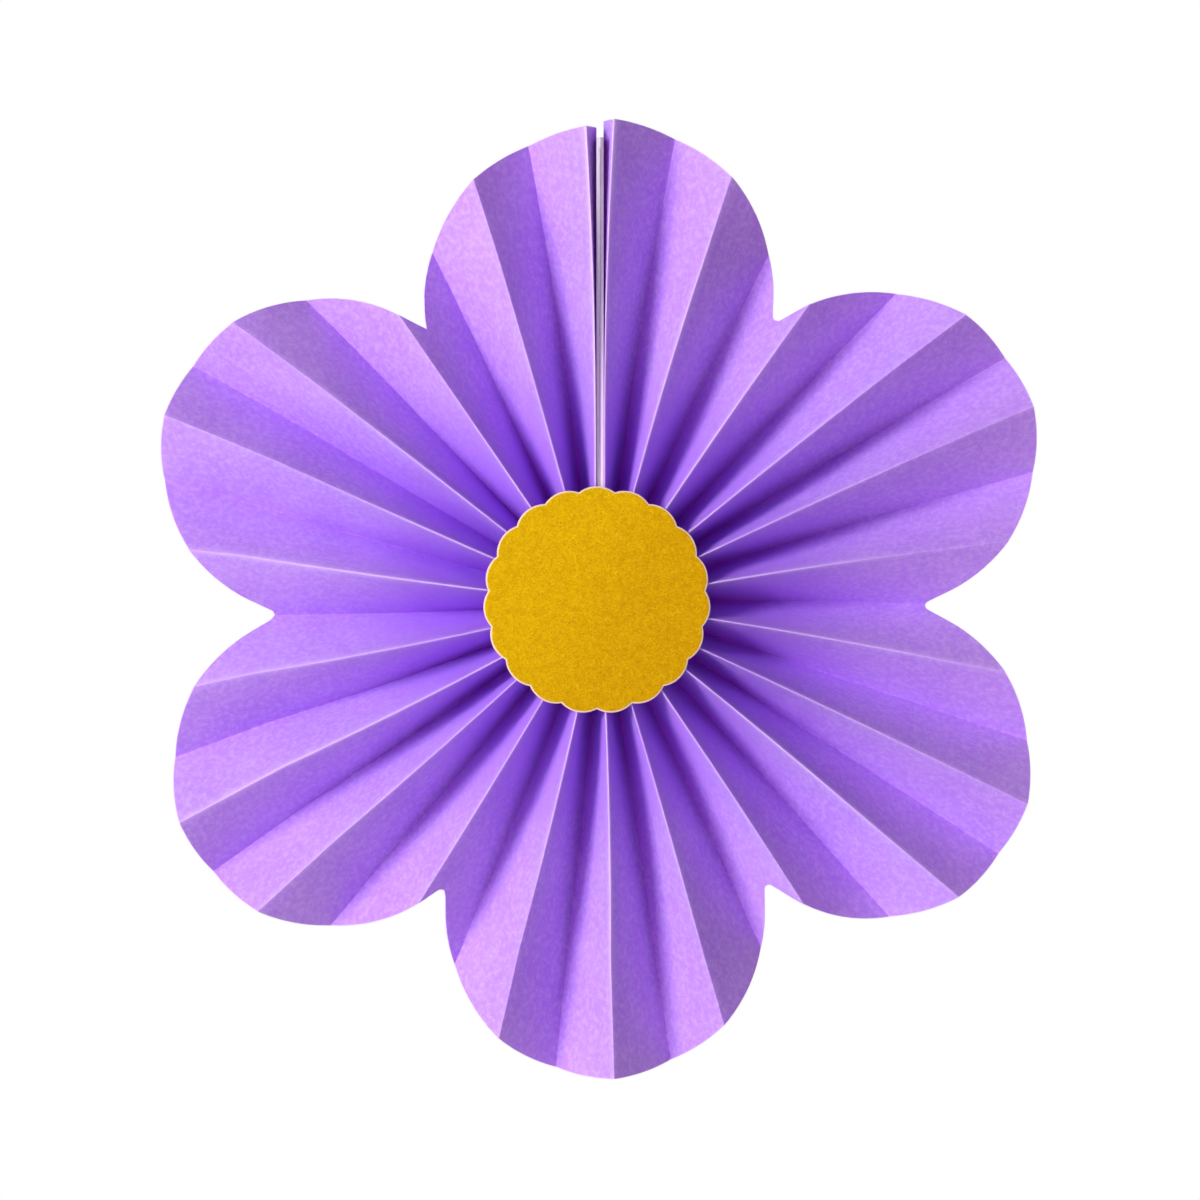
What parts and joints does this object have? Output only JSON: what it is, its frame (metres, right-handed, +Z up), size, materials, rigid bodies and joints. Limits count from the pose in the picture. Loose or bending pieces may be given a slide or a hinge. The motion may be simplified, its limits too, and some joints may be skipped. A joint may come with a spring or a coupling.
{
  "type": "paper fan rosette",
  "caption": "Pleated paper flower rosette with a scalloped glitter-card centre, closed at a stiffened seam and hung from a hole at the top of it.",
  "frame": {"origin": "middle of the hub, halfway through the depth of the pleats", "axes": "+Z up along the seam to the hanging hole, -Y towards the viewer of the disc, +X to the viewer's right, along the hanging hole"},
  "size_m": [0.2258, 0.0241, 0.2476],
  "materials": {
    "lilac_paper": "matte lilac folding paper with paler worn fold lines and cut edges",
    "grey_board": "matte grey board, pale on its cut edges",
    "seam_tape": "thin translucent double-sided tape",
    "cotton_thread": "white cotton thread",
    "glue": "cloudy set glue",
    "gold_glitter_card": "fine gold glitter on card, with a pale die-cut edge"
  },
  "bodies": {
    "root": {"pleated_paper": "lilac_paper", "end_board_left": "grey_board", "end_board_right": "grey_board", "seam_tape": "seam_tape", "hub_thread": "cotton_thread", "disc_glue_dot": "glue", "centre_disc": "gold_glitter_card"}
  },
  "joints": []
}
